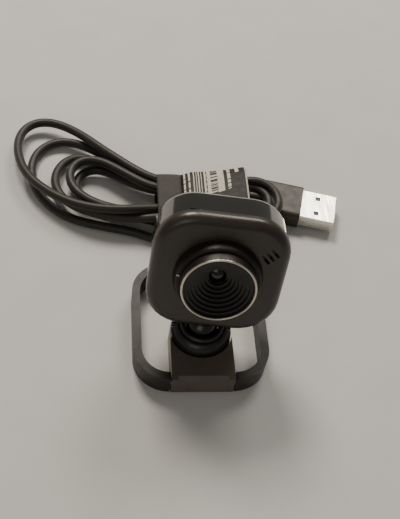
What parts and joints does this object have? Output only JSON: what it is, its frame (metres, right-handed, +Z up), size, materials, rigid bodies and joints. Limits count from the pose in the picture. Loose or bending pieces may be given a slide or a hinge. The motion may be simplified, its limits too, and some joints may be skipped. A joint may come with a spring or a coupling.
{
  "type": "webcam on folding loop stand",
  "caption": "Small square-headed desk webcam with a focus ring and microphone, on a tilting ball, panning turret and folding loop stand, with its cord tied in a hank and a USB plug",
  "frame": {"origin": "on the table, at the middle of the loop stand's footprint", "axes": "+Z up from the table, -Y the way the lens faces, +X to the right seen along +Y (from in front)"},
  "size_m": [0.1093, 0.106, 0.0536],
  "materials": {
    "block_plastic": "fine-grained satin dark grey",
    "loop_plastic": "satin charcoal, faint mould grain",
    "turret_plastic": "semi-gloss black",
    "ball_plastic": "satin black, slightly polished by rubbing",
    "face_satin": "soft satin black with a fine grain",
    "shell_gloss": "piano black, fine hairline scratches",
    "bezel_gloss": "semi-gloss black",
    "trim_silver": "satin silver",
    "funnel_black": "dead matte black with sharp steps",
    "lens_glass": "coated glass with a violet sheen",
    "filter_glass": "pale cyan coated glass",
    "sensor_face": "iridescent silicon in a ceramic frame",
    "rubber_pad": "matte black rubber",
    "screw_steel": "zinc-plated",
    "pin_steel": "ground steel",
    "weight_steel": "plain, lightly oiled",
    "bush_plastic": "natural acetal",
    "friction_felt": "pressed felt",
    "mark_paint": "pad-printed white",
    "can_metal": "stamped can",
    "led_lens": "clear epoxy over the die",
    "clear_window": "clear light pipe",
    "board_laminate": "green solder mask",
    "chip_black": "moulded epoxy",
    "header_nylon": "natural nylon",
    "cord_jacket": "satin black PVC jacket",
    "tie_strap": "soft satin black strap",
    "label_film": "black film with plain pale bars",
    "grip_plastic": "moulded dark grey PVC",
    "plug_nickel": "bright nickel plate",
    "tongue_plastic": "white nylon",
    "contact_gold": "gold plate"
  },
  "bodies": {
    "stand": {"base_upper": "block_plastic", "base_lower": "block_plastic", "base_pad": "rubber_pad", "base_screw_left": "screw_steel", "base_screw_right": "screw_steel", "base_weight": "weight_steel", "pin_bush_left": "bush_plastic", "pin_bush_right": "bush_plastic", "cord_lead": "cord_jacket", "cord_hank": "cord_jacket", "cord_tail": "cord_jacket", "cord_tie": "tie_strap", "label_wrap": "label_film", "plug_relief": "grip_plastic", "plug_grip": "grip_plastic", "plug_shell": "plug_nickel", "plug_tongue": "tongue_plastic", "contact_1": "contact_gold", "contact_2": "contact_gold", "contact_3": "contact_gold", "contact_4": "contact_gold"},
    "loop_arm": {"loop": "loop_plastic", "loop_pin_left": "pin_steel", "loop_pin_right": "pin_steel", "loop_pad_left": "rubber_pad", "loop_pad_right": "rubber_pad"},
    "swivel": {"turret": "turret_plastic", "turret_ring": "turret_plastic", "tilt_pin": "pin_steel", "friction_pad": "friction_felt", "pan_retainer": "bush_plastic", "pan_screw": "screw_steel"},
    "head": {"ball_stud": "ball_plastic", "neck_washer": "block_plastic", "face_plate": "face_satin", "rear_shell": "shell_gloss", "lens_bezel": "bezel_gloss", "index_mark": "mark_paint", "mic_capsule": "can_metal", "status_led": "led_lens", "led_window": "clear_window", "circuit_board": "board_laminate", "lens_holder": "ball_plastic", "image_sensor": "sensor_face", "ir_filter": "filter_glass", "controller_chip": "chip_black", "crystal": "can_metal", "cable_header": "header_nylon", "board_screw_a": "screw_steel", "board_screw_b": "screw_steel", "shell_screw_a": "screw_steel", "shell_screw_b": "screw_steel", "cord_gland": "cord_jacket"},
    "focus": {"focus_ring": "bezel_gloss", "trim_ring": "trim_silver", "funnel": "funnel_black", "lens_cell": "ball_plastic", "lens_front": "lens_glass"}
  },
  "joints": [
    {"name": "loop_fold", "type": "hinge", "parent": "stand", "child": "loop_arm", "pos_m": [0, -0.0191, 0.00385], "axis": [1, 0, 0], "range_deg": [-100, 0]},
    {"name": "head_pan", "type": "hinge", "parent": "stand", "child": "swivel", "pos_m": [0, -0.004, 0.004], "axis": [0, 0, 1], "range_deg": [-56, 64], "deforming": ["cord_lead"]},
    {"name": "head_tilt", "type": "hinge", "parent": "swivel", "child": "head", "pos_m": [0, -0.004, 0.0095], "axis": [0.9976, -0.0698, 0], "range_deg": [-20, 36], "deforming": ["cord_lead"]},
    {"name": "focus_turn", "type": "hinge", "parent": "head", "child": "focus", "pos_m": [0.00121, -0.00573, 0.03634], "axis": [-0.0669, -0.9565, 0.284], "range_deg": [-80, 80]}
  ]
}
